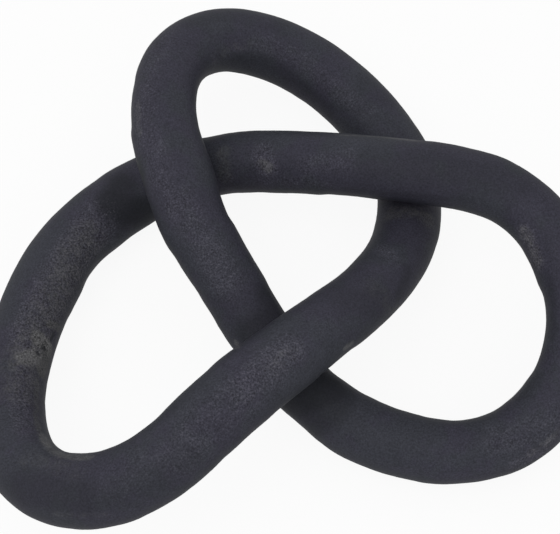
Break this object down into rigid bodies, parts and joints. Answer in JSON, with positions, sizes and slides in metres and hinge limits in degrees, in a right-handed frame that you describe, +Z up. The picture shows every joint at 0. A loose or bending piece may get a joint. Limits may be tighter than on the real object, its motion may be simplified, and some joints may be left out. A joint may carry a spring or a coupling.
{
  "type": "knot sculpture",
  "caption": "Decorative knot of thick round metal bar, joined end to end in one closed over-and-under loop, that lies flat on a table.",
  "frame": {"origin": "on the table, under the middle of the knot's outline", "axes": "+X across the knot from the left loop to the right loop, +Y from the front towards the top loop, +Z up"},
  "size_m": [0.268, 0.2486, 0.0733],
  "materials": {
    "coated_bar": "matte",
    "coated_weld": "matte",
    "dowel_steel": "satin",
    "felt": "matte"
  },
  "bodies": {
    "root": {"left_to_top_span": "coated_bar", "top_to_right_span": "coated_bar", "right_to_left_span": "coated_bar", "top_bend": "coated_bar", "right_bend": "coated_bar", "left_bend": "coated_bar", "dowel_left_lower": "dowel_steel", "dowel_top_right": "dowel_steel", "dowel_top_left": "dowel_steel", "dowel_right_lower": "dowel_steel", "dowel_right_upper": "dowel_steel", "dowel_left_upper": "dowel_steel", "weld_left_lower": "coated_weld", "weld_top_right": "coated_weld", "weld_top_left": "coated_weld", "weld_right_lower": "coated_weld", "weld_right_upper": "coated_weld", "weld_left_upper": "coated_weld", "felt_pad_back_right": "felt", "felt_pad_front_right": "felt", "felt_pad_left": "felt"}
  },
  "joints": []
}
